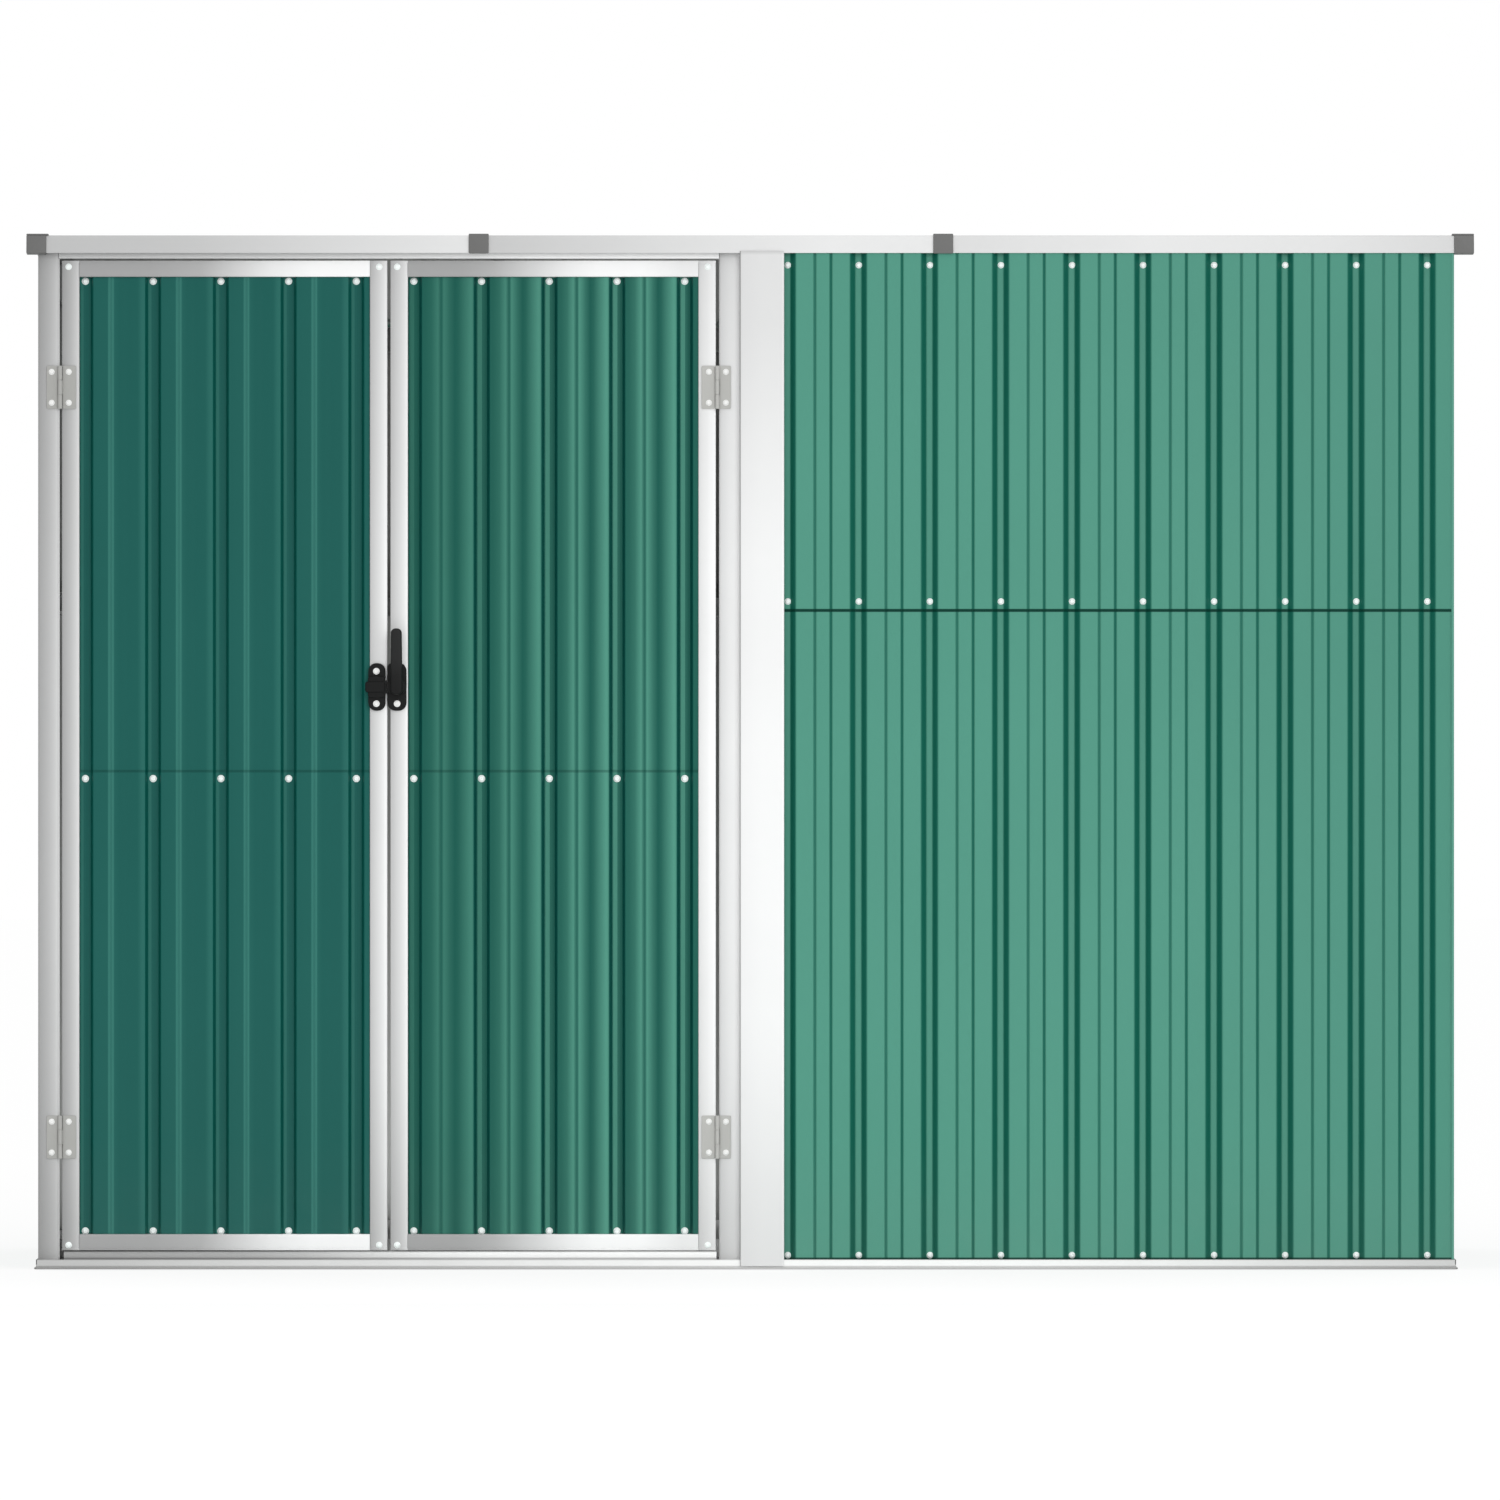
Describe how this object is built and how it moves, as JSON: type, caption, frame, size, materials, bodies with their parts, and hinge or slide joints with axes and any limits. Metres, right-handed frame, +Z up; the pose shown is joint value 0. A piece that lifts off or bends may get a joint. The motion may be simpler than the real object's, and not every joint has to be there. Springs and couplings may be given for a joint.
{
  "type": "metal storage shed",
  "caption": "Metal storage shed with green ribbed sheet walls, a pale grey steel frame, a pent roof edged with trims and plastic caps, and hinged doors with a black lever latch.",
  "frame": {"origin": "on the ground under the middle of the overall box", "axes": "+X to the right seen from the doors, +Y to the back, +Z up; the doors face -Y"},
  "size_m": [2.25, 0.8974, 1.61],
  "materials": {
    "sheet_green": "satin",
    "frame_grey": "satin",
    "cap_grey": "matte",
    "hinge_steel": "satin",
    "latch_black": "satin"
  },
  "bodies": {
    "shed": {"front_base_rail": "frame_grey", "back_base_rail": "frame_grey", "left_base_rail": "frame_grey", "right_base_rail": "frame_grey", "threshold": "frame_grey", "left_door_post": "frame_grey", "right_door_post": "frame_grey", "inner_posts": "frame_grey", "door_header": "frame_grey", "front_wall_top_rail": "frame_grey", "top_rails": "frame_grey", "rafters": "frame_grey", "mid_rails": "frame_grey", "cover_strip": "frame_grey", "front_wall_upper_sheet": "sheet_green", "front_wall_lower_sheet": "sheet_green", "left_wall_upper_sheet": "sheet_green", "left_wall_lower_sheet": "sheet_green", "right_wall_upper_sheet": "sheet_green", "right_wall_lower_sheet": "sheet_green", "back_wall_upper_sheet": "sheet_green", "back_wall_lower_sheet": "sheet_green", "corner_trims": "sheet_green", "left_roof_sheet": "sheet_green", "middle_roof_sheet": "sheet_green", "right_roof_sheet": "sheet_green", "roof_front_trim": "frame_grey", "roof_back_trim": "frame_grey", "roof_side_trims": "frame_grey", "roof_corner_caps": "cap_grey", "roof_joint_caps": "cap_grey", "hinge_post_leaves": "hinge_steel"},
    "left_door": {"left_door_stiles": "frame_grey", "left_door_rails": "frame_grey", "left_door_upper_sheet": "sheet_green", "left_door_lower_sheet": "sheet_green", "left_hinge_leaves": "hinge_steel", "latch_keeper": "latch_black"},
    "right_door": {"right_door_stiles": "frame_grey", "right_door_rails": "frame_grey", "right_door_upper_sheet": "sheet_green", "right_door_lower_sheet": "sheet_green", "right_hinge_leaves": "hinge_steel", "latch_plate": "latch_black"},
    "latch": {"latch_handle": "latch_black"}
  },
  "joints": [
    {"name": "left_door_hinge", "type": "hinge", "parent": "shed", "child": "left_door", "pos_m": [-1.073, -0.42833, 0.788], "axis": [0, 0, -1], "range_deg": [0, 150]},
    {"name": "right_door_hinge", "type": "hinge", "parent": "shed", "child": "right_door", "pos_m": [-0.051, -0.42833, 0.788], "axis": [0, 0, 1], "range_deg": [0, 150]},
    {"name": "latch_lever", "type": "hinge", "parent": "right_door", "child": "latch", "pos_m": [-0.548, -0.42473, 0.905], "axis": [0, 1, 0], "range_deg": [0, 90]}
  ]
}
